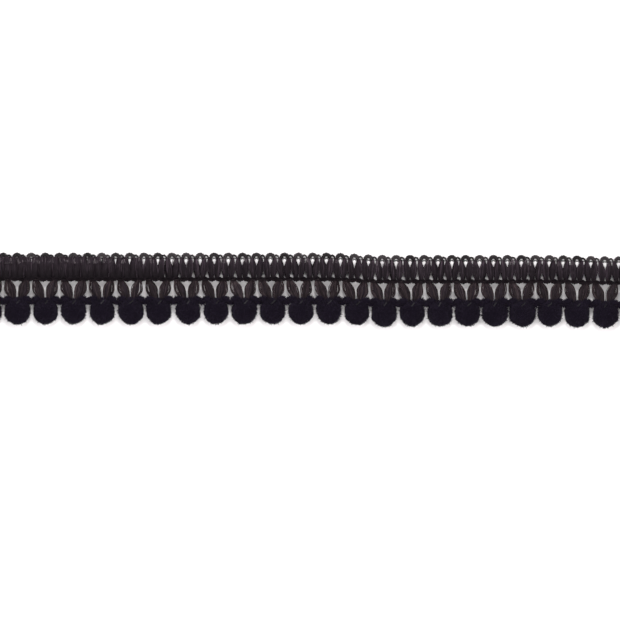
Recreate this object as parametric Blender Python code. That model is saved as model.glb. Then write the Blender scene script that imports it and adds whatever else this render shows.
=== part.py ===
"""Pompom fringe trim: a cut length of crocheted braid with a row of small sheared
pile balls tied along its lower edge. It lies flat, front up, on the balls and on
the scalloped edge of the braid.

Metres. +X runs along the trim, +Y across it towards the scalloped edge, +Z up.
"""

import math
import random

import bmesh
import bpy
from mathutils import Vector, noise

MM = 0.001

# Lengthwise: one course is one chain stitch, and every fourth course ties a pompom.
COURSE = 1.275 * MM
COURSES_PER_POMPOM = 4
POMPOMS = 24
PITCH = COURSES_PER_POMPOM * COURSE
LENGTH = POMPOMS * PITCH
FIRST_COURSE = -COURSES_PER_POMPOM * POMPOMS // 2

# Crosswise heights, from the middle chain, + towards the scalloped edge.
CREST_TOP = 4.92 * MM
CREST_SIDE = 4.72 * MM
SMALL_ARCH_TOP = 4.44 * MM
HOLE_TOP = 4.22 * MM
HOLE_WIDEST = 3.66 * MM
HOLE_FOOT = 2.77 * MM
RIB_BELLY = 1.60 * MM
CHAIN_TOP = 0.42 * MM
CHAIN_FOOT = -0.36 * MM
LOWER_CHAIN = -3.85 * MM

# Lengthwise places in a course, as shares of it, from the crest of the large arch.
RIB_AT = 0.5
HOLE_SIDE_AT = 0.31
CREST_SIDE_AT = 0.52

# Half thicknesses of the yarn, either side of the braid's middle surface.
ARCH_HALF = 0.30 * MM
VALLEY_HALF = 0.32 * MM
RIB_HALF = 0.58 * MM
BACK_HALF = 0.45 * MM
CHAIN_HALF = 0.66 * MM
LEG_EDGE_HALF = 0.24 * MM
LEG_SPINE_HALF = 0.62 * MM
LOWER_CHAIN_HALF = 0.50 * MM

# The heading lies on the surface at its scalloped edge and rises to the balls' middle.
FLAT_EDGE = 4.00 * MM
POMPOM_MIDDLE_Z = 2.17 * MM

# How unevenly the trim lies: it steps sideways twice, and its lower edge leans along.
STEPS = (  # starts at, ends at, sideways
    (2.4 * MM, 13.4 * MM, -0.42 * MM),
    (41.6 * MM, 56.2 * MM, -0.25 * MM),
)
DRIFT = 0.28 * MM
LEAN = 0.42 * MM
WAVER = 0.06 * MM
WAVER_LENGTH = 2.6 * MM

# Legs of the mesh, two to a pompom: places from the pompom's centre line.
LEG_SECTIONS = (  # height, inner edge, spine, outer edge
    (-0.97 * MM, 0.76 * MM, 1.54 * MM, 2.26 * MM),
    (-1.62 * MM, 0.46 * MM, 1.42 * MM, 2.34 * MM),
    (-2.30 * MM, 0.30 * MM, 1.26 * MM, 2.12 * MM),
    (-2.86 * MM, 0.27 * MM, 1.10 * MM, 1.86 * MM),
)
LEG_ROOT = (1.02 * MM, 1.64 * MM, 2.27 * MM)  # inner edge, spine, outer edge
CHAIN_FOOT_INNER = 0.52 * MM

# The lower chain with the pile bridges that it grips between the pompoms.
BRIDGE_SECTIONS = (  # from the centre line, top, middle, foot
    (0.00 * MM, -3.66 * MM, -3.90 * MM, -4.15 * MM),
    (0.27 * MM, -3.30 * MM, -3.86 * MM, -4.15 * MM),
    (1.12 * MM, -3.22 * MM, -3.84 * MM, -4.18 * MM),
    (1.90 * MM, -3.14 * MM, -3.86 * MM, -4.34 * MM),
    (PITCH / 2, -3.52 * MM, -4.06 * MM, -4.66 * MM),
)
BRIDGE_FOOT_HALF = 0.34 * MM

# Pompoms: sections from the tied top to the sheared foot.
POMPOM_SECTIONS = (  # height, half width, half depth
    (-4.56 * MM, 1.60 * MM, 1.02 * MM),
    (-4.86 * MM, 2.08 * MM, 1.66 * MM),
    (-5.42 * MM, 2.25 * MM, 2.20 * MM),
    (-6.24 * MM, 2.24 * MM, 2.20 * MM),
    (-6.98 * MM, 1.94 * MM, 1.94 * MM),
    (-7.60 * MM, 1.40 * MM, 1.42 * MM),
    (-8.04 * MM, 0.64 * MM, 0.66 * MM),
)
POMPOM_SIDES = 12
POMPOM_LUMP = 0.05 * MM
POMPOM_LUMP_LENGTH = 1.3 * MM
POMPOM_SIZE_SPREAD = 0.02
POMPOM_SHIFT_SPREAD = 0.04 * MM
LOCKS_PER_POMPOM = 12
LOCK_RISE = 0.16 * MM
SIDE_FACING = 0.6
RESTS_BELOW = 0.14 * MM

YARN_BLACK = (0.030, 0.026, 0.028)
PILE_BLACK = (0.010, 0.009, 0.013)


def ease(share):
    """0 to 1, level at both ends."""
    share = min(1.0, max(0.0, share))
    return share * share * (3 - 2 * share)


def lift(across):
    """Height of the braid's middle surface above what the trim lies on."""
    rise = (POMPOM_MIDDLE_Z - ARCH_HALF) / (FLAT_EDGE - LOWER_CHAIN)
    return min(POMPOM_MIDDLE_Z, ARCH_HALF + rise * max(0.0, FLAT_EDGE - across))


def place(along, across, above):
    """A point of the trim, given by its course, its height from the middle chain and
    its distance from the middle surface, where it lies on the surface."""
    bow = math.cos(math.pi * along / LENGTH) ** 2
    depth = min(1.0, max(0.0, across / LOWER_CHAIN))
    sideways = sum(by * ease((along - start) / (end - start)) for start, end, by in STEPS)
    spot = Vector((along, across, 0)) / WAVER_LENGTH
    return Vector((
        along + bow * (DRIFT + LEAN * depth) + WAVER * noise.noise(spot),
        across + sideways,
        max(0.0, lift(across) + above),
    ))


def material(name, colour, roughness):
    made = bpy.data.materials.new(name)
    made.use_nodes = True
    shader = made.node_tree.nodes["Principled BSDF"]
    shader.inputs["Base Color"].default_value = (*colour, 1)
    shader.inputs["Roughness"].default_value = roughness
    shader.inputs["Metallic"].default_value = 0.0
    return made


def add_object(name, mesh_in_work, finish, parent):
    bmesh.ops.recalc_face_normals(mesh_in_work, faces=mesh_in_work.faces)
    data = bpy.data.meshes.new(name)
    mesh_in_work.to_mesh(data)
    mesh_in_work.free()
    data.materials.append(finish)
    made = bpy.data.objects.new(name, data)
    made.parent = parent
    bpy.context.scene.collection.objects.link(made)
    return made


class Layout:
    """A flat plan of faces that is given a front and a back, and walls round its
    outline and its openings. Places that coincide are one point."""

    def __init__(self):
        self.work = bmesh.new()
        self.points = {}
        self.faces = []

    def point(self, along, across, front, back=None):
        key = (round(along / MM, 4), round(across / MM, 4))
        if key not in self.points:
            behind = -(front if back is None else back)
            self.points[key] = (
                self.work.verts.new(place(along, across, front)),
                self.work.verts.new(place(along, across, behind)),
            )
        return key

    def face(self, *keys):
        self.faces.append(keys)

    def grid(self, *rows):
        """Faces between rows of the same number of points."""
        for upper, lower in zip(rows, rows[1:]):
            for i in range(len(upper) - 1):
                self.face(upper[i], upper[i + 1], lower[i + 1], lower[i])

    def thicken(self):
        sides = {}
        for keys in self.faces:
            front = [self.points[key][0] for key in keys]
            back = [self.points[key][1] for key in keys]
            self.work.faces.new(front)
            self.work.faces.new(reversed(back))
            for pair in zip(keys, keys[1:] + keys[:1]):
                sides.setdefault(frozenset(pair), []).append(pair)
        for (start, end), *others in sides.values():
            if not others:
                corners = (*self.points[start], *reversed(self.points[end]))
                self.work.faces.new(corners)
        return self.work


def heading_course(plan, crest, side):
    """One course of the heading: a rib, half of the large arch over the crest line,
    and half of the small arch one course to that side."""

    def row(across, valley, rib, back=None):
        return [
            plan.point(crest + side * COURSE * share, across, half, back)
            for share, half in ((0, valley), (RIB_AT, rib), (1, valley))
        ]

    chain = row(0, CHAIN_HALF, CHAIN_HALF)
    chain_top = row(CHAIN_TOP, VALLEY_HALF, RIB_HALF, BACK_HALF)
    belly = row(RIB_BELLY, VALLEY_HALF, RIB_HALF, BACK_HALF)
    hole_foot = row(HOLE_FOOT, VALLEY_HALF, RIB_HALF, BACK_HALF)
    plan.grid(hole_foot, belly, chain_top, chain)

    def arch(share, across):
        return plan.point(crest + side * COURSE * share, across, ARCH_HALF)

    hole_side = arch(HOLE_SIDE_AT, HOLE_WIDEST)
    joint = arch(1, HOLE_WIDEST)
    hole_top = arch(0, HOLE_TOP)
    crest_top = arch(0, CREST_TOP)
    crest_side = arch(CREST_SIDE_AT, CREST_SIDE)
    small_arch = arch(1, SMALL_ARCH_TOP)
    plan.face(hole_foot[0], hole_foot[1], hole_side)
    plan.face(hole_foot[1], hole_foot[2], joint, hole_side)
    plan.face(hole_top, hole_side, crest_side, crest_top)
    plan.face(hole_side, joint, small_arch, crest_side)


def mesh_leg(plan, centre, side):
    """One leg of the mesh, the foot of the middle chain that it hangs from, and the
    half of the lower chain below it, from a pompom's centre line to that side."""

    def at(out, across, half):
        return plan.point(centre + side * out, across, half)

    chain = [at(COURSE * step / 2, 0, CHAIN_HALF) for step in range(COURSES_PER_POMPOM + 1)]
    root = [
        at(out, CHAIN_FOOT, half)
        for out, half in zip(LEG_ROOT, (LEG_EDGE_HALF, LEG_SPINE_HALF, LEG_EDGE_HALF))
    ]
    foot = [at(0, CHAIN_FOOT, VALLEY_HALF), at(CHAIN_FOOT_INNER, CHAIN_FOOT, VALLEY_HALF)]
    between = at(PITCH / 2, CHAIN_FOOT, VALLEY_HALF)
    plan.grid(chain[:4], [*foot, *root[:2]])
    plan.face(chain[3], chain[4], between, root[2], root[1])

    rows = [root]
    for across, inner, spine, outer in LEG_SECTIONS:
        rows.append([
            at(inner, across, LEG_EDGE_HALF),
            at(spine, across, LEG_SPINE_HALF),
            at(outer, across, LEG_EDGE_HALF),
        ])
    tops, middles, feet = (
        [at(section[0], section[row], half) for section in BRIDGE_SECTIONS]
        for row, half in ((1, LEG_EDGE_HALF), (2, LOWER_CHAIN_HALF), (3, BRIDGE_FOOT_HALF))
    )
    plan.grid(*rows, tops[1:4])
    plan.grid(tops, middles, feet)


def braid(finish, parent):
    plan = Layout()
    for course in range(0, COURSES_PER_POMPOM * POMPOMS, 2):
        crest = (FIRST_COURSE + course) * COURSE
        heading_course(plan, crest, 1)
        heading_course(plan, crest + 2 * COURSE, -1)
    for number in range(POMPOMS):
        centre = -LENGTH / 2 + (number + 0.5) * PITCH
        mesh_leg(plan, centre, -1)
        mesh_leg(plan, centre, 1)
    return add_object("braid", plan.thicken(), finish, parent)


def raise_locks(work, chance, centre):
    """Raises locks of the clipped pile, each a low four-sided point on one face."""
    free = [
        face
        for face in work.faces
        if len(face.verts) == 4
        and min(v.co.z for v in face.verts) > RESTS_BELOW
        and abs((face.calc_center_median() - centre).normalized().x) < SIDE_FACING
        and face.calc_center_median().y < centre.y
    ]
    chosen = chance.sample(free, LOCKS_PER_POMPOM)
    bmesh.ops.poke(work, faces=chosen, offset=LOCK_RISE, use_relative_offset=False)


def pompom(number, finish, parent):
    chance = random.Random(number)
    size = 1 + chance.uniform(-POMPOM_SIZE_SPREAD, POMPOM_SIZE_SPREAD)
    shift = chance.uniform(-POMPOM_SHIFT_SPREAD, POMPOM_SHIFT_SPREAD)
    along = -LENGTH / 2 + (number - 0.5) * PITCH
    tied_at = POMPOM_SECTIONS[0][0]
    widest_at = max(POMPOM_SECTIONS, key=lambda section: section[1])[0]
    centre = place(along, widest_at, 0)
    centre.x += shift

    work = bmesh.new()
    rings = []
    for across, half_width, half_depth in POMPOM_SECTIONS:
        middle = place(along, tied_at + (across - tied_at) * size, 0)
        ring = []
        for step in range(POMPOM_SIDES):
            angle = 2 * math.pi * (step + 0.5) / POMPOM_SIDES
            out = Vector((math.cos(angle), 0, math.sin(angle))) / math.cos(math.pi / POMPOM_SIDES)
            spot = middle + out * half_width
            lump = noise.noise(spot / POMPOM_LUMP_LENGTH) * POMPOM_LUMP
            point = Vector((
                centre.x + out.x * (half_width * size + lump),
                middle.y,
                POMPOM_MIDDLE_Z + out.z * (half_depth + lump),
            ))
            if point.z < RESTS_BELOW:
                point.z = 0.0
            ring.append(work.verts.new(point))
        rings.append(ring)
    for upper, lower in zip(rings, rings[1:]):
        for i in range(POMPOM_SIDES):
            j = (i + 1) % POMPOM_SIDES
            work.faces.new((upper[i], upper[j], lower[j], lower[i]))
    work.faces.new(rings[0])
    work.faces.new(rings[-1])
    bmesh.ops.recalc_face_normals(work, faces=work.faces)
    raise_locks(work, chance, centre)
    return add_object(f"pompom_{number:02d}", work, finish, parent)


def centre_over_origin(made, parent):
    """Sets the whole trim over the origin, at the middle of its bounding box."""
    spots = [vertex.co for item in made for vertex in item.data.vertices]
    for axis in (0, 1):
        low = min(spot[axis] for spot in spots)
        high = max(spot[axis] for spot in spots)
        parent.location[axis] = -(low + high) / 2


def main():
    for item in list(bpy.data.objects):
        bpy.data.objects.remove(item)
    trim = bpy.data.objects.new("trim", None)
    bpy.context.scene.collection.objects.link(trim)
    yarn = material("braid_yarn", YARN_BLACK, roughness=0.45)
    pile = material("pompom_pile", PILE_BLACK, roughness=0.95)
    made = [braid(yarn, trim)]
    made += [pompom(number, pile, trim) for number in range(1, POMPOMS + 1)]
    centre_over_origin(made, trim)


main()
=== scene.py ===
"""The looks of a black pompom fringe trim: crocheted heading, mesh and cut-pile balls."""

import math
import random

import bmesh
import bpy
from mathutils import Matrix, Vector, noise


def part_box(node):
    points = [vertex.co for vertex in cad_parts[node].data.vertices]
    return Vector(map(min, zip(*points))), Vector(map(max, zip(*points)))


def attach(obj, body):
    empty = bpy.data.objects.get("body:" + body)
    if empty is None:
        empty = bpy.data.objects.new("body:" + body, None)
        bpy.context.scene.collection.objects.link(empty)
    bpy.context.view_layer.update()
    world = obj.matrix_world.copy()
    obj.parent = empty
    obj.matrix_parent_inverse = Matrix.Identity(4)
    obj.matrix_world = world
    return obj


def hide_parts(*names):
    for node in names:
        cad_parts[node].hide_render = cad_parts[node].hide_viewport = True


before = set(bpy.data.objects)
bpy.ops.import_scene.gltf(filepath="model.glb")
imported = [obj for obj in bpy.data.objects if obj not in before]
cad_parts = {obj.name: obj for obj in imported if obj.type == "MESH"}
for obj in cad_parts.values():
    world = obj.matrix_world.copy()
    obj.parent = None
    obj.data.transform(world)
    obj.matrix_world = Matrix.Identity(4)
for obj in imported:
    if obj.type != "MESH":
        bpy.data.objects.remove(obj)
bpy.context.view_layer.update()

# The heading's ribs. Each is a hank of loose, shiny black filament yarn laid between
# the top thread and the middle chain, four to a pompom. The thread and the chain pinch it
# at its ends and it swells between them, more closed towards the trim's left end.
MM = 0.001
COURSE = 1.275 * MM
COURSES_PER_POMPOM = 4
POMPOMS = 24
PITCH = COURSES_PER_POMPOM * COURSE
LENGTH = POMPOMS * PITCH
CREST_TOP = 4.92 * MM
LOWER_CHAIN = -3.85 * MM
FLAT_EDGE = 4.00 * MM
EDGE_MIDDLE_Z = 0.30 * MM
POMPOM_MIDDLE_Z = 2.17 * MM
RISE = (POMPOM_MIDDLE_Z - EDGE_MIDDLE_Z) / (FLAT_EDGE - LOWER_CHAIN)
MIDDLE_CHAIN_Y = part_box("braid")[1].y - CREST_TOP
STEPS = (  # starts at, ends at, sideways
    (2.4 * MM, 13.4 * MM, -0.42 * MM),
    (41.6 * MM, 56.2 * MM, -0.25 * MM),
)
DRIFT = 0.28 * MM
LEAN = 0.42 * MM
WAVER = 0.06 * MM
WAVER_LENGTH = 2.6 * MM
RIB_SECTIONS = (  # height, from the crest line, above the middle surface, half width, half depth
    (3.86 * MM, 0.79 * MM, 0.16 * MM, 0.28 * MM, 0.16 * MM),
    (3.60 * MM, 0.78 * MM, 0.12 * MM, 0.35 * MM, 0.24 * MM),
    (3.10 * MM, 0.74 * MM, 0.08 * MM, 0.51 * MM, 0.38 * MM),
    (2.50 * MM, 0.68 * MM, 0.04 * MM, 0.68 * MM, 0.48 * MM),
    (1.80 * MM, 0.62 * MM, 0.04 * MM, 0.70 * MM, 0.50 * MM),
    (1.15 * MM, 0.55 * MM, 0.04 * MM, 0.57 * MM, 0.42 * MM),
    (0.55 * MM, 0.52 * MM, 0.04 * MM, 0.43 * MM, 0.28 * MM),
    (0.00 * MM, 0.51 * MM, 0.02 * MM, 0.37 * MM, 0.18 * MM),
)
RIB_CLOSED_HALF = 0.82 * MM
RIB_CLOSED_TOP_HALF = 0.70 * MM
RIB_CLOSED_RISE = 0.24 * MM
RIB_STRANDS = 30
RIB_STRAND_RADIUS = 0.062 * MM
# The rib fade darkens each rib, strands and core, towards its foot at the middle chain: painted shade.
RIB_FOOT_SHADE = 0.75
STRAND_WAVES = 900.0
STRAND_SIZES = (0.7, 1.3)
RIB_CORE_SHARE = 0.86
RIB_CORE_FLATNESS = 0.74
TOP_OPENS = (-47 * MM, -21 * MM)
FOOT_OPENS = (-30 * MM, -20 * MM)


def ease(share):
    """0 to 1, level at both ends."""
    share = min(1.0, max(0.0, share))
    return share * share * (3 - 2 * share)


def lift(across):
    """Height of the braid's middle surface above what the trim lies on."""
    return min(POMPOM_MIDDLE_Z, EDGE_MIDDLE_Z + RISE * max(0.0, FLAT_EDGE - across))


def place(along, across, above=0.0):
    """A point of the trim, by its place along it, its height from the middle chain and
    its distance from the braid's middle surface."""
    bow = math.cos(math.pi * along / LENGTH) ** 2
    depth = min(1.0, max(0.0, across / LOWER_CHAIN))
    sideways = sum(by * ease((along - start) / (end - start)) for start, end, by in STEPS)
    spot = Vector((along, across, 0)) / WAVER_LENGTH
    return Vector((
        along + bow * (DRIFT + LEAN * depth) + WAVER * noise.noise(spot),
        across + sideways + MIDDLE_CHAIN_Y,
        max(0.0, lift(across) + above),
    ))


def lines(name, routes, sizes=()):
    """A mesh of open lines. A route lists (point, size, ...) and the sizes become point
    attributes of those names."""
    rows = [row for route in routes for row in route]
    edges = []
    first = 0
    for route in routes:
        edges += [(first + i, first + i + 1) for i in range(len(route) - 1)]
        first += len(route)
    mesh = bpy.data.meshes.new(name)
    mesh.from_pydata([row[0] for row in rows], edges, [])
    for column, size in enumerate(sizes, start=1):
        attribute = mesh.attributes.new(size, "FLOAT", "POINT")
        attribute.data.foreach_set("value", [row[column] for row in rows])
    made = bpy.data.objects.new(name, mesh)
    bpy.context.scene.collection.objects.link(made)
    return made


def new_tree(name, inputs):
    """A Geometry Nodes tree with a mesh in, the named inputs, and a mesh out."""
    tree = bpy.data.node_groups.new(name, "GeometryNodeTree")
    tree.interface.new_socket("Geometry", in_out="INPUT", socket_type="NodeSocketGeometry")
    for label, kind in inputs.items():
        tree.interface.new_socket(label, in_out="INPUT", socket_type=f"NodeSocket{kind}")
    tree.interface.new_socket("Geometry", in_out="OUTPUT", socket_type="NodeSocketGeometry")
    return tree, tree.nodes.new("NodeGroupInput").outputs


def add(tree, kind, inputs, **settings):
    """A node with its settings, and its inputs set or linked. Gives its outputs."""
    node = tree.nodes.new(kind)
    for label, value in settings.items():
        setattr(node, label, value)
    for label, value in inputs.items():
        if isinstance(value, bpy.types.NodeSocket):
            tree.links.new(value, node.inputs[label])
        else:
            node.inputs[label].default_value = value
    return node.outputs


def maths(tree, operation, first, second=0.0):
    return add(tree, "ShaderNodeMath", {0: first, 1: second}, operation=operation)[0]


def vectors(tree, operation, first, second=(0, 0, 0)):
    scaled = operation == "SCALE"
    return add(
        tree, "ShaderNodeVectorMath", {0: first, "Scale" if scaled else 1: second}, operation=operation
    )[0]


def chance(tree, low, high, identity, seed, shift):
    """A random number for each identity, between two values."""
    return add(
        tree,
        "FunctionNodeRandomValue",
        {2: low, 3: high, "ID": identity, "Seed": maths(tree, "ADD", seed, shift)},
        data_type="FLOAT",
    )[1]


def above_surface(tree, geometry, margin):
    """The geometry, with what lies lower than the margin raised to it."""
    spot = add(tree, "GeometryNodeInputPosition", {})[0]
    parts = add(tree, "ShaderNodeSeparateXYZ", {0: spot})
    raised = maths(tree, "MAXIMUM", parts[2], margin)
    clear = add(tree, "ShaderNodeCombineXYZ", {0: parts[0], 1: parts[1], 2: raised})[0]
    return add(tree, "GeometryNodeSetPosition", {"Geometry": geometry, "Position": clear})[0]


def faded(tree, fade):
    """1 at the start of a line, less by the fade at its end. On the ribs this darkening is painted shade at
    their feet.
    """
    gone = add(tree, "GeometryNodeSplineParameter", {})["Factor"]
    return maths(tree, "SUBTRACT", 1.0, maths(tree, "MULTIPLY", gone, fade))


def finish_tree(tree, geometry, material):
    """Ends a tree: smooth, realized and with its material."""
    smooth = add(tree, "GeometryNodeSetShadeSmooth", {"Geometry": geometry})[0]
    real = add(tree, "GeometryNodeRealizeInstances", {"Geometry": smooth})[0]
    dressed = add(tree, "GeometryNodeSetMaterial", {"Geometry": real, "Material": material})[0]
    tree.links.new(dressed, tree.nodes.new("NodeGroupOutput").inputs[0])
    return tree


def strand_tree():
    """Loose strands round each line, as far out as its spread and depth."""
    tree, given = new_tree("strands", {
        "Strands": "Int", "Radius": "Float", "Rim": "Float", "Waver": "Float", "Fade": "Float",
        "Seed": "Int", "Material": "Material",
    })
    lines_in = add(tree, "GeometryNodeMeshToCurve", {"Mesh": given["Geometry"]})[0]
    copies = add(
        tree, "GeometryNodeDuplicateElements",
        {"Geometry": lines_in, "Amount": given["Strands"]}, domain="SPLINE",
    )[0]
    strand = add(tree, "GeometryNodeCurveOfPoint", {})[0]
    seed = given["Seed"]
    turn = chance(tree, 0.0, 2 * math.pi, strand, seed, 1)
    share = maths(tree, "POWER", chance(tree, 0.0, 1.0, strand, seed, 2), given["Rim"])
    spread = add(tree, "GeometryNodeInputNamedAttribute", {"Name": "spread"}, data_type="FLOAT")[0]
    depth = add(tree, "GeometryNodeInputNamedAttribute", {"Name": "depth"}, data_type="FLOAT")[0]
    sideways = maths(tree, "MULTIPLY", maths(tree, "COSINE", turn), maths(tree, "MULTIPLY", share, spread))
    upwards = maths(tree, "MULTIPLY", maths(tree, "SINE", turn), maths(tree, "MULTIPLY", share, depth))
    tangent = add(tree, "GeometryNodeInputTangent", {})[0]
    across = vectors(tree, "NORMALIZE", vectors(tree, "CROSS_PRODUCT", tangent, (0, 0, 1)))
    shift = vectors(
        tree, "ADD",
        vectors(tree, "SCALE", across, sideways),
        add(tree, "ShaderNodeCombineXYZ", {2: upwards})[0],
    )
    spot = add(tree, "GeometryNodeInputPosition", {})[0]
    apart = add(tree, "ShaderNodeCombineXYZ", {2: chance(tree, 0.0, 40.0, strand, seed, 3)})[0]
    where = vectors(tree, "ADD", vectors(tree, "SCALE", spot, STRAND_WAVES), apart)
    wave = add(tree, "ShaderNodeTexNoise", {"Vector": where, "Scale": 1.0, "Detail": 1.0})[1]
    waver = vectors(tree, "SCALE", vectors(tree, "SUBTRACT", wave, (0.5, 0.5, 0.5)), given["Waver"])
    moved = add(
        tree, "GeometryNodeSetPosition", {"Geometry": copies, "Offset": vectors(tree, "ADD", shift, waver)}
    )[0]
    clear = above_surface(tree, moved, given["Radius"])
    # Each strand's random tone, times the fade along its line; on the ribs the fade is painted shade
    # towards their feet.
    tone_and_shade = maths(tree, "MULTIPLY", chance(tree, 0.0, 1.0, strand, seed, 5), faded(tree, given["Fade"]))
    tinted = add(
        tree, "GeometryNodeStoreNamedAttribute", {"Geometry": clear, "Name": "tint", "Value": tone_and_shade},
        data_type="FLOAT", domain="POINT",
    )[0]
    profile = add(tree, "GeometryNodeCurvePrimitiveCircle", {"Resolution": 3, "Radius": given["Radius"]})[0]
    thick = chance(tree, *STRAND_SIZES, strand, seed, 4)
    tubes = add(
        tree, "GeometryNodeCurveToMesh",
        {"Curve": tinted, "Profile Curve": profile, "Scale": thick, "Fill Caps": True},
    )[0]
    return finish_tree(tree, tubes, given["Material"])


def core_tree():
    """A solid body along each line, as wide as its spread and flatter than that."""
    tree, given = new_tree("core", {
        "Flatness": "Float", "Share": "Float", "Fade": "Float", "Material": "Material",
    })
    line = add(tree, "GeometryNodeMeshToCurve", {"Mesh": given["Geometry"]})[0]
    # The core's tone falls off along its line by the fade: on the ribs this is painted shade towards their
    # feet.
    tint = maths(tree, "MULTIPLY", faded(tree, given["Fade"]), 0.5)
    tinted = add(
        tree, "GeometryNodeStoreNamedAttribute", {"Geometry": line, "Name": "tint", "Value": tint},
        data_type="FLOAT", domain="POINT",
    )[0]
    spread = add(tree, "GeometryNodeInputNamedAttribute", {"Name": "spread"}, data_type="FLOAT")[0]
    half = maths(tree, "MULTIPLY", spread, given["Share"])
    level = add(tree, "GeometryNodeSetCurveNormal", {"Curve": tinted}, mode="Z_UP")[0]
    ring = add(tree, "GeometryNodeCurvePrimitiveCircle", {"Resolution": 8, "Radius": 1.0})[0]
    flat = add(tree, "ShaderNodeCombineXYZ", {0: 1.0, 1: given["Flatness"], 2: 1.0})[0]
    oval = add(tree, "GeometryNodeTransform", {"Geometry": ring, "Scale": flat})[0]
    body = add(
        tree, "GeometryNodeCurveToMesh",
        {"Curve": level, "Profile Curve": oval, "Scale": half, "Fill Caps": True},
    )[0]
    return finish_tree(tree, above_surface(tree, body, 0.0), given["Material"])


def grow(name, tree, start, **inputs):
    """What a tree makes from a starting object, as a plain mesh object of that name."""
    modifier = start.modifiers.new(name, "NODES")
    modifier.node_group = tree
    for socket in tree.interface.items_tree:
        if socket.in_out == "INPUT" and socket.name in inputs:
            modifier[socket.identifier] = inputs[socket.name]
    graph = bpy.context.evaluated_depsgraph_get()
    mesh = bpy.data.meshes.new_from_object(start.evaluated_get(graph))
    start.modifiers.remove(modifier)
    bpy.data.objects.remove(start)
    mesh.name = name
    made = bpy.data.objects.new(name, mesh)
    bpy.context.scene.collection.objects.link(made)
    return made


def tone_group():
    """Colour of dyed fibre: each strand has its own tone, and the dye is patchy. The tint that picks a
    strand's tone also carries the fade along its line, which on the ribs is painted shade.
    """
    tree = bpy.data.node_groups.new("fibre_tone", "ShaderNodeTree")
    for label, kind in (
        ("Deep", "Color"), ("Bright", "Color"), ("Patch", "Float"), ("Stretch", "Vector"),
        ("Spread", "Float"),
    ):
        tree.interface.new_socket(label, in_out="INPUT", socket_type=f"NodeSocket{kind}")
    tree.interface.new_socket("Color", in_out="OUTPUT", socket_type="NodeSocketColor")
    given = tree.nodes.new("NodeGroupInput").outputs
    strand = add(tree, "ShaderNodeAttribute", {}, attribute_name="tint")[2]
    place_in = add(tree, "ShaderNodeTexCoord", {})[3]
    drawn = vectors(tree, "MULTIPLY", place_in, given["Stretch"])
    patch = add(tree, "ShaderNodeTexNoise", {"Vector": drawn, "Scale": given["Patch"], "Detail": 3.0})[0]
    both = maths(tree, "MULTIPLY", strand, patch)
    share = maths(tree, "POWER", maths(tree, "MULTIPLY", both, 2.0), given["Spread"])
    mixed = add(
        tree, "ShaderNodeMix", {0: share, 6: given["Deep"], 7: given["Bright"]},
        data_type="RGBA", clamp_factor=True,
    )[2]
    tree.links.new(mixed, tree.nodes.new("NodeGroupOutput").inputs[0])
    return tree


def grain_group():
    """Fine unevenness along fibres: their height and how dull they are."""
    tree = bpy.data.node_groups.new("fibre_grain", "ShaderNodeTree")
    for label, kind in (("Scale", "Float"), ("Stretch", "Vector"), ("Shiny", "Float"), ("Dull", "Float")):
        tree.interface.new_socket(label, in_out="INPUT", socket_type=f"NodeSocket{kind}")
    for label in ("Height", "Roughness"):
        tree.interface.new_socket(label, in_out="OUTPUT", socket_type="NodeSocketFloat")
    given = tree.nodes.new("NodeGroupInput").outputs
    place_in = add(tree, "ShaderNodeTexCoord", {})[3]
    drawn = vectors(tree, "MULTIPLY", place_in, given["Stretch"])
    grain = add(tree, "ShaderNodeTexNoise", {"Vector": drawn, "Scale": given["Scale"], "Detail": 4.0})[0]
    dull = add(
        tree, "ShaderNodeMapRange", {"Value": grain, 1: 0.3, 2: 0.7, 3: given["Shiny"], 4: given["Dull"]}
    )[0]
    result = tree.nodes.new("NodeGroupOutput").inputs
    tree.links.new(grain, result[0])
    tree.links.new(dull, result[1])
    return tree


FIBRE_TONE = tone_group()
FIBRE_GRAIN = grain_group()


def fibre(name, deep, bright, patch, spread, grain, stretch, roughness, bump, **shading):
    """A Principled material with the tone and the grain of fibres."""
    made = bpy.data.materials.new(name)
    made.use_nodes = True
    tree = made.node_tree
    shader = tree.nodes["Principled BSDF"]
    tone = tree.nodes.new("ShaderNodeGroup")
    tone.node_tree = FIBRE_TONE
    tone.inputs["Deep"].default_value = (*deep, 1)
    tone.inputs["Bright"].default_value = (*bright, 1)
    tone.inputs["Patch"].default_value = patch
    tone.inputs["Stretch"].default_value = stretch
    tone.inputs["Spread"].default_value = spread
    tree.links.new(tone.outputs["Color"], shader.inputs["Base Color"])
    uneven = tree.nodes.new("ShaderNodeGroup")
    uneven.node_tree = FIBRE_GRAIN
    uneven.inputs["Scale"].default_value = grain
    uneven.inputs["Stretch"].default_value = stretch
    uneven.inputs["Shiny"].default_value = roughness[0]
    uneven.inputs["Dull"].default_value = roughness[1]
    relief = tree.nodes.new("ShaderNodeBump")
    relief.inputs["Distance"].default_value = bump
    tree.links.new(uneven.outputs["Height"], relief.inputs["Height"])
    tree.links.new(relief.outputs["Normal"], shader.inputs["Normal"])
    tree.links.new(uneven.outputs["Roughness"], shader.inputs["Roughness"])
    for label, value in shading.items():
        shader.inputs[label.replace("_", " ")].default_value = value
    return made


def fit(piece, slot, *nodes):
    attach(piece, "root")
    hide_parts(*nodes)


def rib_routes():
    luck = random.Random(17)
    for crest in range(-COURSES_PER_POMPOM * POMPOMS // 2, COURSES_PER_POMPOM * POMPOMS // 2 + 1, 2):
        for side in (-1, 1):
            if abs(crest + side) * COURSE > LENGTH / 2:
                continue
            route = []
            higher = RIB_CLOSED_RISE * luck.uniform(0.5, 1.1)
            for across, out, above, half, depth in RIB_SECTIONS:
                along = crest * COURSE + side * out
                opens = FOOT_OPENS if across < RIB_SECTIONS[3][0] else TOP_OPENS
                closed = 1 - ease((along - opens[0]) / (opens[1] - opens[0]))
                widest = RIB_CLOSED_HALF if route else RIB_CLOSED_TOP_HALF
                rise = 0 if route else higher * closed
                width = half + (widest - half) * closed
                route.append((place(along, across + rise, above), width, depth))
            yield route


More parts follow.
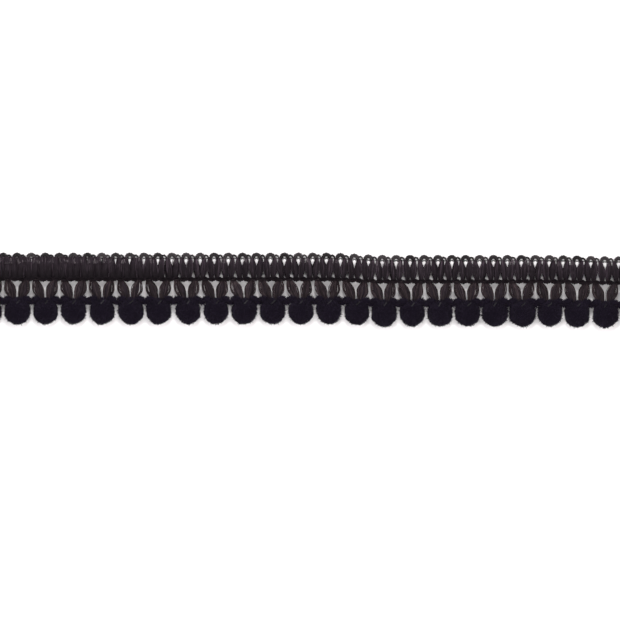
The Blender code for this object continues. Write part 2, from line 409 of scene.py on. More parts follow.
STRANDS = strand_tree()
CORE = core_tree()
# The rib strands run from a deep tone to a bright one: partly random tone, partly painted highlight, since
# the shine is set low and the brightest strands stand in for the glints of shiny filament.
rib_tone_and_highlight = fibre(
    "rib_filament", (0.0082, 0.0056, 0.0077), (0.077, 0.056, 0.072),
    patch=2600.0, spread=1.25,
    grain=9000.0, stretch=(1, 0.25, 1), roughness=(0.45, 0.68), bump=0.03 * MM, Specular_IOR_Level=0.07,
)
rib_shadow = fibre(
    "rib_core", (0.0037, 0.0026, 0.0034), (0.060, 0.0428, 0.0558),
    patch=6000.0, spread=1.7,
    grain=11000.0, stretch=(1, 0.07, 1), roughness=(0.6, 0.8), bump=0.10 * MM, Specular_IOR_Level=0.06,
)
ribs = grow(
    "heading_ribs", STRANDS, lines("rib_lines", list(rib_routes()), ("spread", "depth")),
    Strands=RIB_STRANDS, Radius=RIB_STRAND_RADIUS, Rim=0.2, Waver=0.13 * MM, Fade=RIB_FOOT_SHADE, Seed=3,
    Material=rib_tone_and_highlight,
)
fit(ribs, "yarn", "braid")
rib_cores = grow(
    "rib_cores", CORE, lines("core_lines", list(rib_routes()), ("spread", "depth")),
    Flatness=RIB_CORE_FLATNESS, Share=RIB_CORE_SHARE, Fade=RIB_FOOT_SHADE, Material=rib_shadow,
)
fit(rib_cores, "yarn", "braid")

# Loose filaments. Broken ends of the filler yarn stand off the ribs just below the top
# thread. Their pale grey colour is painted sheen, the haze of light that black filament
# catches, most of all at the trim's left end.
LOOSE_SECTIONS = (  # height, above the middle surface
    (3.98 * MM, 0.30 * MM),
    (3.74 * MM, 0.40 * MM),
    (3.46 * MM, 0.47 * MM),
    (3.16 * MM, 0.47 * MM),
)
LOOSE_SPREAD = 0.55 * MM
LOOSE_DEPTH = 0.12 * MM
LOOSE_LEAST = 0.12
LOOSE_TUFTS = 3
LOOSE_SHIFT = 0.35 * MM
LOOSE_STRANDS = 9
LOOSE_RADIUS = 0.025 * MM


def loose_routes():
    luck = random.Random(31)
    for crest in range(-COURSES_PER_POMPOM * POMPOMS // 2, COURSES_PER_POMPOM * POMPOMS // 2, 2):
        for side in (-1, 1):
            along = crest * COURSE + side * RIB_SECTIONS[0][1]
            closed = 1 - ease((along - TOP_OPENS[0]) / (TOP_OPENS[1] - TOP_OPENS[0]))
            for tuft in range(LOOSE_TUFTS):
                shift = luck.uniform(-LOOSE_SHIFT, LOOSE_SHIFT / 2)
                if luck.random() < max(LOOSE_LEAST, closed) and abs(along) < LENGTH / 2:
                    yield [
                        (place(along + shift, across + shift, above), LOOSE_SPREAD, LOOSE_DEPTH)
                        for across, above in LOOSE_SECTIONS
                    ]


# The loose filaments' pale colour is painted sheen on black filament.
loose_painted_sheen = fibre(
    "loose_filament", (0.036, 0.030, 0.034), (0.34, 0.28, 0.31),
    patch=3000.0, spread=1.8,
    grain=9000.0, stretch=(1, 1, 1), roughness=(0.4, 0.6), bump=0.01 * MM, Specular_IOR_Level=0.3,
)
loose = grow(
    "loose_filaments", STRANDS, lines("loose_lines", list(loose_routes()), ("spread", "depth")),
    Strands=LOOSE_STRANDS, Radius=LOOSE_RADIUS, Rim=0.6, Waver=0.55 * MM, Fade=0.3, Seed=21,
    Material=loose_painted_sheen,
)
fit(loose, "yarn", "braid")

# The scalloped edge. Four-ply gimp yarn goes over each crest in a large arch that lies in
# front, and a thinner three-ply one makes the small arch between, a little behind.
LARGE_ARCH = (  # from the crest line, height, above the middle surface, thickness
    (0.56 * MM, 3.20 * MM, -0.26 * MM, 0.36),
    (0.64 * MM, 3.50 * MM, -0.10 * MM, 0.46),
    (0.65 * MM, 3.80 * MM, 0.10 * MM, 0.74),
    (0.57 * MM, 4.12 * MM, 0.20 * MM, 0.94),
    (0.36 * MM, 4.38 * MM, 0.18 * MM, 1.03),
    (0.00 * MM, 4.52 * MM, 0.16 * MM, 1.05),
)
SMALL_ARCH = (  # from its own middle, height, above the middle surface, thickness
    (0.40 * MM, 3.20 * MM, -0.14 * MM, 0.8),
    (0.40 * MM, 3.65 * MM, -0.02 * MM, 0.9),
    (0.37 * MM, 3.98 * MM, 0.00 * MM, 1.0),
    (0.25 * MM, 4.24 * MM, 0.00 * MM, 1.05),
    (0.00 * MM, 4.37 * MM, -0.02 * MM, 1.05),
)
SMALL_ARCH_SHIFT = -0.14 * MM
SMALL_ARCH_TILT = -0.30
LARGE_ARCH_RADIUS = 0.38 * MM
SMALL_ARCH_RADIUS = 0.18 * MM
PLY_LAY = 1.2 * MM
PLY_OUT = 0.50
PLY_HALF = 0.52


def smoothed(rows, steps):
    """A table's rows with more between them, on a smooth curve through all of them."""
    made = []
    last = len(rows) - 1
    for i in range(last):
        spans = zip(rows[max(i - 1, 0)], rows[i], rows[i + 1], rows[min(i + 2, last)])
        spans = list(spans)
        for step in range(steps):
            t = step / steps
            made.append(tuple(
                b + 0.5 * t * (c - a + t * (2 * a - 5 * b + 4 * c - d + t * (3 * (b - c) + d - a)))
                for a, b, c, d in spans
            ))
    made.append(tuple(rows[-1]))
    return made


def ply_tree():
    """Plied yarn along each line, its plies wound round each other."""
    tree, given = new_tree("plied_yarn", {
        "Plies": "Int", "Sides": "Int", "Radius": "Float", "Lay": "Float", "Material": "Material",
    })
    line = add(tree, "GeometryNodeMeshToCurve", {"Mesh": given["Geometry"]})[0]
    swell = add(tree, "GeometryNodeInputNamedAttribute", {"Name": "swell"}, data_type="FLOAT")[0]
    yarn = add(tree, "GeometryNodeCurveOfPoint", {})[0]
    gone = add(tree, "GeometryNodeSplineParameter", {})["Length"]
    turns = maths(tree, "MULTIPLY", maths(tree, "DIVIDE", gone, given["Lay"]), 2 * math.pi)
    turned = maths(tree, "ADD", turns, chance(tree, 0.0, 2 * math.pi, yarn, 0, 6))
    wound = add(tree, "GeometryNodeSetCurveTilt", {"Curve": line, "Tilt": turned})[0]
    half = maths(tree, "MULTIPLY", given["Radius"], PLY_OUT)
    ring = add(tree, "GeometryNodeCurvePrimitiveCircle", {"Resolution": given["Plies"], "Radius": half})[0]
    ply = add(
        tree, "GeometryNodeCurvePrimitiveCircle",
        {"Resolution": given["Sides"], "Radius": maths(tree, "MULTIPLY", given["Radius"], PLY_HALF)},
    )[0]
    plies = add(tree, "GeometryNodeInstanceOnPoints", {"Points": ring, "Instance": ply})[0]
    profile = add(tree, "GeometryNodeRealizeInstances", {"Geometry": plies})[0]
    tint = chance(tree, 0.0, 1.0, yarn, 0, 7)
    tinted = add(
        tree, "GeometryNodeStoreNamedAttribute", {"Geometry": wound, "Name": "tint", "Value": tint},
        data_type="FLOAT", domain="POINT",
    )[0]
    tubes = add(
        tree, "GeometryNodeCurveToMesh",
        {"Curve": tinted, "Profile Curve": profile, "Scale": swell, "Fill Caps": True},
    )[0]
    return finish_tree(tree, above_surface(tree, tubes, 0.0), given["Material"])


def arch_routes(sections, first, shift=0.0, tilt=0.0):
    """Arches every second course, each from its foot over its crest to the other foot,
    moved along by the shift and with one shoulder lower by the tilt."""
    half = smoothed(sections, 2)
    for course in range(first, COURSES_PER_POMPOM * POMPOMS // 2 + 1, 2):
        route = []
        for side, rows in ((-1, half), (1, half[-2::-1])):
            for out, across, above, swell in rows:
                along = course * COURSE + shift + side * out
                if abs(along) <= LENGTH / 2:
                    route.append((place(along, across + tilt * side * out, above), swell))
        yield route


PLIED = ply_tree()
gimp = fibre(
    "gimp_yarn", (0.0147, 0.0125, 0.0134), (0.0455, 0.0388, 0.0415),
    patch=900.0, spread=1.0,
    grain=11000.0, stretch=(1, 1, 1), roughness=(0.4, 0.65), bump=0.04 * MM, Specular_IOR_Level=0.12,
)
large_arches = grow(
    "large_arches", PLIED,
    lines("large_arch_lines", list(arch_routes(LARGE_ARCH, -48)), ("swell",)),
    Plies=4, Sides=6, Radius=LARGE_ARCH_RADIUS, Lay=PLY_LAY, Material=gimp,
)
fit(large_arches, "yarn", "braid")
small_arch_routes = list(arch_routes(SMALL_ARCH, -47, SMALL_ARCH_SHIFT, SMALL_ARCH_TILT))
small_arches = grow(
    "small_arches", PLIED, lines("small_arch_lines", small_arch_routes, ("swell",)),
    Plies=3, Sides=5, Radius=SMALL_ARCH_RADIUS, Lay=PLY_LAY, Material=gimp,
)
fit(small_arches, "yarn", "braid")

# The top thread. A thin hard-twisted thread runs through the feet of the arches, over
# each yarn and under the next gap, and crosses the holes as a fine dark line.
TOP_THREAD_HEIGHT = 3.79 * MM
TOP_THREAD_RADIUS = 0.085 * MM
TOP_THREAD_OVER = 0.42 * MM
TOP_THREAD_SIDE = 0.12 * MM
TOP_THREAD_STEPS = 6


def top_thread_route(phase):
    steps = COURSES_PER_POMPOM * POMPOMS * TOP_THREAD_STEPS
    for step in range(steps + 1):
        along = -LENGTH / 2 + LENGTH * step / steps
        turn = 2 * math.pi * along / COURSE + phase
        across = TOP_THREAD_HEIGHT + TOP_THREAD_SIDE * math.sin(turn)
        above = TOP_THREAD_OVER * -math.cos(2 * math.pi * along / COURSE)
        yield (place(along, across, above), 1.0)


thread = fibre(
    "binding_thread", (0.0020, 0.0014, 0.0018), (0.0122, 0.0083, 0.0108),
    patch=900.0, spread=1.0,
    grain=12000.0, stretch=(1, 1, 1), roughness=(0.5, 0.7), bump=0.03 * MM, Specular_IOR_Level=0.07,
)
top_thread = grow(
    "top_thread", PLIED,
    lines("top_thread_lines", [list(top_thread_route(0.0)), list(top_thread_route(math.pi))], ("swell",)),
    Plies=2, Sides=4, Radius=TOP_THREAD_RADIUS, Lay=0.6 * MM, Material=thread,
)
fit(top_thread, "yarn", "braid")

# The middle chain. Chain stitches, one to a course and on both faces, close over the feet
# of the ribs, the roots of the mesh and a cord laid in between. Each is a drop-shaped
# loop of thread drawn through the one before.
STITCH = (  # along the chain, to the side, above the chain's middle
    (-0.52 * MM, 0.00 * MM, 0.20 * MM),
    (-0.20 * MM, 0.20 * MM, 0.34 * MM),
    (0.26 * MM, 0.31 * MM, 0.30 * MM),
    (0.66 * MM, 0.22 * MM, 0.02 * MM),
    (0.80 * MM, 0.00 * MM, -0.10 * MM),
)
STITCH_THREAD_RADIUS = 0.15 * MM
MIDDLE_CHAIN_HEIGHT = 0.00 * MM
MIDDLE_CHAIN_ABOVE = 0.30 * MM
BACK_CHAIN_ABOVE = -0.26 * MM


def stitch_object(steps, face=1):
    """One chain stitch, leaning as the braid does, its route as fine as the steps. It
    stands out to the front, or with face -1 to the back."""
    half = smoothed(STITCH, steps)
    there = [Vector((x, y, face * z)) for x, y, z in half]
    back = [Vector((x, -y, face * z)) for x, y, z in half[-2::-1]]
    lean = Matrix.Rotation(-math.atan(RISE), 3, "X")
    route = [(lean @ spot + Vector((0, 0, POMPOM_MIDDLE_Z)), 1.0) for spot in there + back]
    made = grow(
        "stitch", PLIED, lines("stitch_line", [route], ("swell",)),
        Plies=2, Sides=4, Radius=STITCH_THREAD_RADIUS, Lay=0.8 * MM, Material=thread,
    )
    made.data.transform(Matrix.Translation((0, 0, -POMPOM_MIDDLE_Z)))
    return made


def chain_tree():
    """A stitch at each point of a line, turned along it."""
    tree, given = new_tree("chain", {"Stitch": "Object", "Seed": "Int", "Material": "Material"})
    line = add(tree, "GeometryNodeMeshToCurve", {"Mesh": given["Geometry"]})[0]
    points = add(tree, "GeometryNodeCurveToPoints", {"Curve": line}, mode="EVALUATED")
    stitch = add(tree, "GeometryNodeObjectInfo", {"Object": given["Stitch"]})["Geometry"]
    along = add(
        tree, "FunctionNodeAlignRotationToVector", {"Vector": points["Tangent"]}, axis="X", pivot_axis="Z"
    )[0]
    index = add(tree, "GeometryNodeInputIndex", {})[0]
    size = chance(tree, 0.92, 1.08, index, given["Seed"], 1)
    placed = add(
        tree, "GeometryNodeInstanceOnPoints",
        {"Points": points["Points"], "Instance": stitch, "Rotation": along, "Scale": size},
    )[0]
    tinted = add(
        tree, "GeometryNodeStoreNamedAttribute",
        {"Geometry": placed, "Name": "tint", "Value": chance(tree, 0.0, 1.0, index, given["Seed"], 2)},
        data_type="FLOAT", domain="INSTANCE",
    )[0]
    real = add(tree, "GeometryNodeRealizeInstances", {"Geometry": tinted})[0]
    return finish_tree(tree, above_surface(tree, real, 0.0), given["Material"])


def chain_route(across, above):
    for course in range(COURSES_PER_POMPOM * POMPOMS):
        yield (place(-LENGTH / 2 + (course + 0.5) * COURSE, across, above),)


CHAIN = chain_tree()
CHAIN_CORE_RADIUS = 0.27 * MM
CHAIN_CORE_HEIGHT = 0.02 * MM
CHAIN_CORE_STEPS = 4


def cord_route(across):
    for step in range(CHAIN_CORE_STEPS * COURSES_PER_POMPOM * POMPOMS + 1):
        along = -LENGTH / 2 + step * COURSE / CHAIN_CORE_STEPS
        yield (place(along, across), 1.0)


chain_core = grow(
    "middle_chain_core", PLIED,
    lines("chain_core_line", [list(cord_route(CHAIN_CORE_HEIGHT))], ("swell",)),
    Plies=4, Sides=5, Radius=CHAIN_CORE_RADIUS, Lay=2.4 * MM, Material=thread,
)
fit(chain_core, "yarn", "braid")
for name, above, steps, face, seed in (
    ("middle_chain", MIDDLE_CHAIN_ABOVE, 2, 1, 5),
    ("middle_chain_back", BACK_CHAIN_ABOVE, 1, -1, 6),
):
    stitch = stitch_object(steps, face)
    chain = grow(
        name, CHAIN, lines("chain_line", [list(chain_route(MIDDLE_CHAIN_HEIGHT, above))]),
        Stitch=stitch, Seed=seed, Material=thread,
    )
    fit(chain, "yarn", "braid")
    bpy.data.objects.remove(stitch)

# The mesh. Two legs to a pompom hang from the middle chain to the lower one, each a flat
# loop of fine filament, thick at its heart and open beside it. They lean in to the
# pompom's middle, so a Y-shaped gap and a diamond-shaped one alternate.
LEG_SECTIONS = (  # height, inner edge, outer edge, half depth
    (0.00 * MM, 1.12 * MM, 2.04 * MM, 0.30 * MM),
    (-0.40 * MM, 1.00 * MM, 2.22 * MM, 0.42 * MM),
    (-0.75 * MM, 0.76 * MM, 2.29 * MM, 0.48 * MM),
    (-1.10 * MM, 0.49 * MM, 2.35 * MM, 0.52 * MM),
    (-1.45 * MM, 0.27 * MM, 2.37 * MM, 0.54 * MM),
    (-1.85 * MM, 0.15 * MM, 2.34 * MM, 0.54 * MM),
    (-2.30 * MM, 0.11 * MM, 2.18 * MM, 0.52 * MM),
    (-2.75 * MM, 0.12 * MM, 1.84 * MM, 0.50 * MM),
    (-3.20 * MM, 0.13 * MM, 1.58 * MM, 0.44 * MM),
    (-3.80 * MM, 0.20 * MM, 1.28 * MM, 0.30 * MM),
)
LEG_RIM_HALF = 0.22 * MM
LEG_RIM_STRANDS = 12
LEG_MIDDLE_STRANDS = 26
LEG_STRAND_RADIUS = 0.055 * MM
LEG_HEART_SHARE = (0.50, 0.74)
LEG_HEART_SHIFT = (0.04 * MM, 0.24 * MM)
LEG_FADE = 0.3
LEG_HEART_FLATNESS = 0.25


def leg_routes(part):
    for number in range(POMPOMS):
        centre = -LENGTH / 2 + (number + 0.5) * PITCH
        for side in (-1, 1):
            route = []
            for across, inner, outer, depth in LEG_SECTIONS:
                half = (outer - inner) / 2
                rim = min(LEG_RIM_HALF, half)
                out, spread = {
                    "inner": (inner + rim, rim),
                    "middle": (inner + half, half - rim / 4),
                    "outer": (outer - rim, rim),
                }[part]
                thick = depth if part == "middle" else depth / 2
                route.append((place(centre + side * out, across), spread, thick))
            yield route


def heart_routes():
    luck = random.Random(51)
    for number, route in enumerate(leg_routes("middle")):
        share = luck.uniform(*LEG_HEART_SHARE)
        inwards = -1 if number % 2 else 1
        aside = Vector((inwards * luck.uniform(*LEG_HEART_SHIFT), 0, 0))
        yield [(spot + aside, spread * share, depth) for spot, spread, depth in route]


leg_yarn = fibre(
    "leg_filament", (0.0138, 0.0097, 0.0111), (0.073, 0.0525, 0.058),
    patch=2200.0, spread=1.5,
    grain=9000.0, stretch=(1, 0.25, 1), roughness=(0.45, 0.68), bump=0.03 * MM, Specular_IOR_Level=0.08,
)
leg_hearts = grow(
    "leg_hearts", CORE, lines("heart_lines", list(heart_routes()), ("spread", "depth")),
    Flatness=LEG_HEART_FLATNESS, Share=1.0, Fade=LEG_FADE, Material=rib_shadow,
)
fit(leg_hearts, "yarn", "braid")
for part, strands, rim, seed in (
    ("inner", LEG_RIM_STRANDS, 0.4, 11),
    ("middle", LEG_MIDDLE_STRANDS, 0.5, 12),
    ("outer", LEG_RIM_STRANDS, 0.4, 13),
):
    legs = grow(
        f"leg_{part}", STRANDS, lines("leg_lines", list(leg_routes(part)), ("spread", "depth")),
        Strands=strands, Radius=LEG_STRAND_RADIUS, Rim=rim, Waver=0.24 * MM, Fade=LEG_FADE, Seed=seed,
        Material=leg_yarn,
    )
    fit(legs, "yarn", "braid")

# The lower chain. The same chain stitch in thread, bound round the pile so tightly that
# it is almost buried in it.
LOWER_CHAIN_HEIGHT = -3.95 * MM
LOWER_CHAIN_ABOVE = 0.20 * MM
stitch = stitch_object(1)
lower_chain_route = list(chain_route(LOWER_CHAIN_HEIGHT, LOWER_CHAIN_ABOVE))
lower_chain = grow(
    "lower_chain", CHAIN, lines("lower_chain_line", [lower_chain_route]),
    Stitch=stitch, Seed=8, Material=thread,
)
fit(lower_chain, "yarn", "braid")
bpy.data.objects.remove(stitch)

# The pompoms. A bundle of pile yarn is tied at its top, cut and sheared round, so that
# each ball is a dense coat of short clipped tufts. Neighbours almost touch, and each is
# a little different.
BALL_HEIGHT = -5.80 * MM
BALL_HALF = Vector((2.02, 2.24, 2.02)) * MM
BALL_TAPER = 0.03
BALL_SIZE_SPREAD = 0.025
BALL_SHIFT_SPREAD = 0.08 * MM
BALL_LUMP = 0.10
BALL_LUMPS = 1.3
BALL_DENT = 0.6
BALL_DENTS = 3.1
BALL_APART = 7.3
BALL_FULLNESS = 0.26
BALL_CUTS = (  # the shears' way from straight down, how far out they cut at least and at most
    (-0.26, 0.93, 1.01),
    (0.0, 0.93, 0.98),
    (0.26, 0.93, 1.01),
)
BALL_CUT_LEAN = 0.07
BALL_CUT_TIP = 0.4
FULLER_BALLS = {18: 1.045, 19: 1.06, 20: 1.05}
TUFT_LENGTH = 0.24 * MM
TUFT_RADIUS = 0.060 * MM
TUFT_TIP_RADIUS = 0.042 * MM
TUFT_GAP = 0.114 * MM
TUFT_PROUD = 1.1
TUFT_DENSITY = 1.2e8
TUFT_LEAN = 0.28
TUFT_CLUMPS = 2600.0
TUFT_CLUMPED = 2.2
TUFT_UNEVEN = (-0.35, 0.15)
TUFT_MISSED = 9.0
TUFT_WIDTHS = (0.7, 1.2)


def pile_tree():
    """A coat of clipped tufts on a body of pile."""
    tree, given = new_tree("pile", {
        "Tuft": "Object", "Gap": "Float", "Length": "Float", "Proud": "Float", "Seed": "Int",
        "Material": "Material",
    })
    body = given["Geometry"]
    seed = given["Seed"]
    spots = add(
        tree, "GeometryNodeDistributePointsOnFaces",
        {"Mesh": body, "Distance Min": given["Gap"], "Density Max": TUFT_DENSITY, "Seed": seed},
        distribute_method="POISSON",
    )
    index = add(tree, "GeometryNodeInputIndex", {})[0]
    leans = [chance(tree, -TUFT_LEAN, TUFT_LEAN, index, seed, shift) for shift in (1, 2)]
    turn = chance(tree, 0.0, 2 * math.pi, index, seed, 3)
    euler = add(tree, "ShaderNodeCombineXYZ", {0: leans[0], 1: leans[1], 2: turn})[0]
    tilt = add(tree, "FunctionNodeEulerToRotation", {0: euler})[0]
    pose = add(
        tree, "FunctionNodeRotateRotation", {0: spots["Rotation"], 1: tilt}, rotation_space="LOCAL"
    )[0]
    tuft = add(tree, "GeometryNodeObjectInfo", {"Object": given["Tuft"]})["Geometry"]
    spot = add(tree, "GeometryNodeInputPosition", {})[0]
    where = vectors(tree, "SCALE", spot, TUFT_CLUMPS)
    clump = add(tree, "ShaderNodeTexNoise", {"Vector": where, "Scale": 1.0, "Detail": 1.0})[0]
    clumped = maths(tree, "MULTIPLY", clump, TUFT_CLUMPED)
    uneven = maths(tree, "ADD", chance(tree, *TUFT_UNEVEN, index, seed, 4), clumped)
    missed = maths(tree, "POWER", chance(tree, 0.0, 1.0, index, seed, 7), TUFT_MISSED)
    uneven = maths(tree, "ADD", uneven, maths(tree, "MULTIPLY", missed, given["Proud"]))
    long = maths(tree, "MULTIPLY", uneven, given["Length"])
    wide = chance(tree, *TUFT_WIDTHS, index, seed, 5)
    size = add(tree, "ShaderNodeCombineXYZ", {0: wide, 1: wide, 2: long})[0]
    coat = add(
        tree, "GeometryNodeInstanceOnPoints",
        {"Points": spots["Points"], "Instance": tuft, "Rotation": pose, "Scale": size},
    )[0]
    tinted = add(
        tree, "GeometryNodeStoreNamedAttribute",
        {"Geometry": coat, "Name": "tint", "Value": chance(tree, 0.0, 1.0, index, seed, 6)},
        data_type="FLOAT", domain="INSTANCE",
    )[0]
    real = add(tree, "GeometryNodeRealizeInstances", {"Geometry": tinted})[0]
    joined = tree.nodes.new("GeometryNodeJoinGeometry")
    tree.links.new(body, joined.inputs[0])
    tree.links.new(real, joined.inputs[0])
    return finish_tree(tree, above_surface(tree, joined.outputs[0], 0.0), given["Material"])


def ball(work, centre, half, number, fineness=2, taper=0.0, cuts=()):
    """Adds a lumpy ball to a mesh in work, narrower towards its lower end by the taper
    and trimmed flat at the cuts."""
    made = bmesh.ops.create_icosphere(work, subdivisions=fineness, radius=1.0)["verts"]
    for vertex in made:
        way = vertex.co.copy()
        lump = noise.noise(way * BALL_LUMPS + Vector((0, 0, number * BALL_APART)))
        dent = noise.noise(way * BALL_DENTS + Vector((number, 0, 0)))
        way *= 1 + BALL_LUMP * (lump + BALL_DENT * dent)
        for towards, reach in cuts:
            way -= towards * max(0.0, way.dot(towards) - reach)
        full = 1 + BALL_FULLNESS * abs(way.y) * max(0.0, 1 - abs(way.y)) - taper * max(0.0, -way.y)
        vertex.co = centre + Vector((half.x * way.x * full, half.y * way.y, half.z * way.z * full))


def mesh_object(name, work):
    bmesh.ops.recalc_face_normals(work, faces=work.faces)
    mesh = bpy.data.meshes.new(name)
    work.to_mesh(mesh)
    work.free()
    mesh.shade_smooth()
    made = bpy.data.objects.new(name, mesh)
    bpy.context.scene.collection.objects.link(made)
    return made


def tuft_object():
    """One clipped tuft: three sides and a top, its open foot in the pile's body."""
    work = bmesh.new()
    turns = [2 * math.pi * side / 3 for side in range(3)]
    foot, tip = (
        [work.verts.new((radius * math.cos(a), radius * math.sin(a), height)) for a in turns]
        for radius, height in ((TUFT_RADIUS, 0), (TUFT_TIP_RADIUS, TUFT_LENGTH))
    )
    for side in range(3):
        after = (side + 1) % 3
        work.faces.new((foot[side], foot[after], tip[after], tip[side]))
    work.faces.new(tip)
    return mesh_object("tuft", work)


PILE = pile_tree()
pile = fibre(
    "cut_pile", (0.0062, 0.0042, 0.0088), (0.0206, 0.0148, 0.0275),
    patch=500.0, spread=1.2,
    grain=7000.0, stretch=(1, 1, 1), roughness=(0.85, 1.0), bump=0.05 * MM,
    Specular_IOR_Level=0.05, Sheen_Weight=0.02, Sheen_Roughness=0.5,
)
tuft = tuft_object()
for number in range(1, POMPOMS + 1):
    luck = random.Random(number)
    size = 1 + luck.uniform(-BALL_SIZE_SPREAD, BALL_SIZE_SPREAD)
    shift = luck.uniform(-BALL_SHIFT_SPREAD, BALL_SHIFT_SPREAD)
    centre = place(-LENGTH / 2 + (number - 0.5) * PITCH + shift, BALL_HEIGHT)
    centre.z = POMPOM_MIDDLE_Z
    cuts = []
    for way, least, most in BALL_CUTS:
        turn = math.pi * (1.5 + way + luck.uniform(-BALL_CUT_LEAN, BALL_CUT_LEAN))
        tip = luck.uniform(-BALL_CUT_TIP, BALL_CUT_TIP)
        towards = Vector((math.cos(turn), math.sin(turn), tip)).normalized()
        cuts.append((towards, luck.uniform(least, most)))
    half = BALL_HALF * size
    half.x *= FULLER_BALLS.get(number, 1.0)
    work = bmesh.new()
    ball(work, centre, half, number, 3, BALL_TAPER, cuts)
    pompom = grow(
        f"pompom_pile_{number:02d}", PILE, mesh_object("pompom_body", work),
        Tuft=tuft, Gap=TUFT_GAP, Length=1.0, Proud=TUFT_PROUD, Seed=number, Material=pile,
    )
    fit(pompom, "pile", f"pompom_{number:02d}")

# The pile bridges. Above each ball the tied bundle swells in two lumps, and the pile
# that the lower chain grips between two balls was never cut away, so it joins them.
LUMP_OUT = 1.60 * MM
LUMP_HEIGHT = -3.76 * MM
LUMP_HALF = Vector((0.90, 0.66, 0.64)) * MM
BRIDGE_HEIGHT = -4.16 * MM
BRIDGE_HALF = Vector((0.72, 0.44, 0.46)) * MM
NECK_HEIGHT = -4.26 * MM
NECK_HALF = Vector((0.90, 0.42, 0.60)) * MM
BRIDGE_TUFT_SHARE = 0.8
BRIDGE_TUFT_GAP = 0.125 * MM

work = bmesh.new()
for number in range(1, POMPOMS + 1):
    middle = -LENGTH / 2 + (number - 0.5) * PITCH
    ball(work, place(middle, NECK_HEIGHT), NECK_HALF, number + 30)
    for side in (-1, 1):
        ball(work, place(middle + side * LUMP_OUT, LUMP_HEIGHT, 0.1 * MM), LUMP_HALF, number + side * 50)
    if number < POMPOMS:
        ball(work, place(middle + PITCH / 2, BRIDGE_HEIGHT), BRIDGE_HALF, number + 200)
bridges = grow(
    "pile_bridges", PILE, mesh_object("bridge_body", work),
    Tuft=tuft, Gap=BRIDGE_TUFT_GAP, Length=BRIDGE_TUFT_SHARE, Proud=TUFT_PROUD, Seed=77, Material=pile,
)
fit(bridges, "pile", "braid")
bpy.data.objects.remove(tuft)

# The tie loops. Where each ball's tie is drawn tight, a short slanting loop of thread
# lies on the pile just right of the gap between the two legs.
TIE_LOOP = (  # from the ball's middle, height, above the middle surface
    (-0.12 * MM, -4.50 * MM, 1.70 * MM),
    (0.02 * MM, -4.36 * MM, 1.86 * MM),
    (0.28 * MM, -4.18 * MM, 1.78 * MM),
    (0.50 * MM, -4.00 * MM, 1.54 * MM),
    (0.62 * MM, -3.86 * MM, 1.10 * MM),
)
TIE_THREAD_RADIUS = 0.14 * MM
TIE_SHIFT = (-0.18, 0.12)
TIE_SIZES = (0.5, 1.0)
TIE_DEEPER = 0.10


def tie_routes():
    for number in range(POMPOMS):
        luck = random.Random(number + 400)
        middle = -LENGTH / 2 + (number + 0.5) * PITCH + luck.uniform(*TIE_SHIFT) * MM
        size = luck.uniform(*TIE_SIZES)
        deeper = luck.uniform(0.0, TIE_DEEPER) * MM
        yield [
            (place(middle + out * size, across, above - deeper), 1.0)
            for out, across, above in smoothed(TIE_LOOP, 3)
        ]


tie_thread = fibre(
    "tie_thread", (0.0104, 0.0098, 0.0114), (0.0312, 0.0293, 0.0338),
    patch=900.0, spread=1.0,
    grain=12000.0, stretch=(1, 1, 1), roughness=(0.4, 0.6), bump=0.03 * MM, Specular_IOR_Level=0.2,
)
ties = grow(
    "tie_loops", PLIED, lines("tie_lines", list(tie_routes()), ("swell",)),
    Plies=2, Sides=5, Radius=TIE_THREAD_RADIUS, Lay=0.7 * MM, Material=tie_thread,
)
fit(ties, "yarn", "braid")

# The cut ends. Scissors cut the length off a longer piece, so the threads of the chains
# and of the top edge end in short brushes of loose filament.
CUT_YARNS = (  # height, above the middle surface, half width, half depth
    (TOP_THREAD_HEIGHT, 0.10 * MM, 0.14 * MM, 0.12 * MM),
    (MIDDLE_CHAIN_HEIGHT, 0.00 * MM, 0.26 * MM, 0.28 * MM),
    (LOWER_CHAIN_HEIGHT, 0.05 * MM, 0.26 * MM, 0.24 * MM),
)
CUT_REACH = (-0.40 * MM, -0.12 * MM, 0.12 * MM, 0.36 * MM)
CUT_SPLAY = (0.6, 0.7, 0.9, 1.15)


def cut_routes():
    for side in (-1, 1):
        for across, above, half, depth in CUT_YARNS:
            yield [
                (place(side * (LENGTH / 2 + reach), across, above), half * splay, depth * splay)
                for reach, splay in zip(CUT_REACH, CUT_SPLAY)
            ]


cut_ends = grow(
    "cut_ends", STRANDS, lines("cut_lines", list(cut_routes()), ("spread", "depth")),
    Strands=30, Radius=0.030 * MM, Rim=0.5, Waver=0.30 * MM, Fade=0.3, Seed=41, Material=rib_tone_and_highlight,
)
fit(cut_ends, "yarn", "braid")

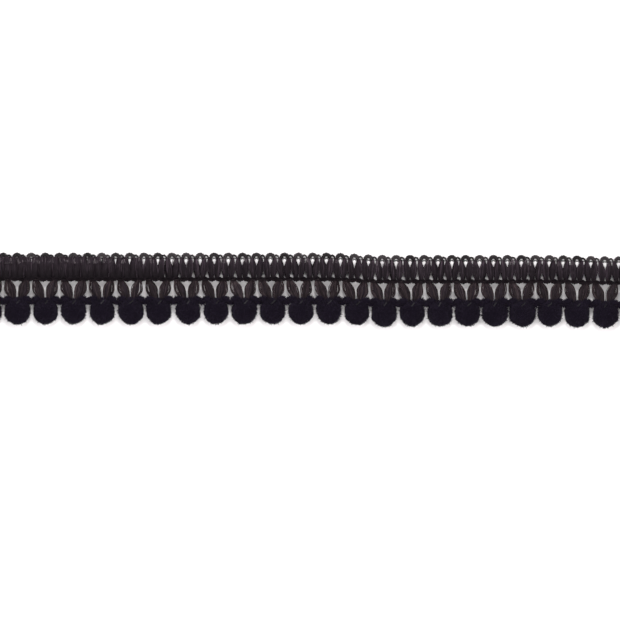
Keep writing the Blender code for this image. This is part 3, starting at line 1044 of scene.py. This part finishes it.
# Studio: a plain white table, four soft lights round the camera that slope in by about
# 30 degrees, and dim white surroundings. The camera looks straight down.
TABLE_SIDE = 4.0
LIGHT_DISTANCE = 1.2
SOFTBOXES = (  # round from before the trim, slope, side, watts
    (0, 37, 0.35, 5.5),
    (90, 27, 0.55, 5.8),
    (180, 30, 0.35, 8.6),
    (270, 27, 0.55, 5.8),
)
SURROUND = 0.27
CAMERA_HEIGHT = 3.0
CAMERA_AIM = Vector((-0.18, -3.70, 2.0)) * MM
VIEW_WIDTH = 112.93 * MM
SENSOR = 36.0

table_mesh = bpy.data.meshes.new("table")
corners = [(x * TABLE_SIDE / 2, y * TABLE_SIDE / 2, 0) for x, y in ((-1, -1), (1, -1), (1, 1), (-1, 1))]
table_mesh.from_pydata(corners, [], [(0, 1, 2, 3)])
table = bpy.data.objects.new("table", table_mesh)
bpy.context.scene.collection.objects.link(table)
paper = bpy.data.materials.new("white_paper")
paper.use_nodes = True
paper.node_tree.nodes["Principled BSDF"].inputs["Base Color"].default_value = (0.90, 0.87, 0.88, 1)
paper.node_tree.nodes["Principled BSDF"].inputs["Roughness"].default_value = 0.9
table_mesh.materials.append(paper)

for turn, slope, side, watts in SOFTBOXES:
    softbox = bpy.data.lights.new("softbox", "AREA")
    softbox.shape = "SQUARE"
    softbox.size = side
    softbox.energy = watts
    stand = Matrix.Rotation(math.radians(turn), 4, "Z") @ Matrix.Rotation(math.radians(slope), 4, "X")
    softbox_object = bpy.data.objects.new("softbox", softbox)
    softbox_object.matrix_world = stand @ Matrix.Translation((0, 0, LIGHT_DISTANCE))
    bpy.context.scene.collection.objects.link(softbox_object)

world = bpy.data.worlds.new("surround")
world.use_nodes = True
world.node_tree.nodes["Background"].inputs["Color"].default_value = (1, 1, 1, 1)
world.node_tree.nodes["Background"].inputs["Strength"].default_value = SURROUND
bpy.context.scene.world = world
bpy.context.scene.view_settings.view_transform = "Standard"

camera = bpy.data.cameras.new("camera")
camera.sensor_width = SENSOR
camera.lens = SENSOR * (CAMERA_HEIGHT - CAMERA_AIM.z) / VIEW_WIDTH
camera_object = bpy.data.objects.new("camera", camera)
camera_object.location = (CAMERA_AIM.x, CAMERA_AIM.y, CAMERA_HEIGHT)
bpy.context.scene.collection.objects.link(camera_object)
bpy.context.scene.camera = camera_object
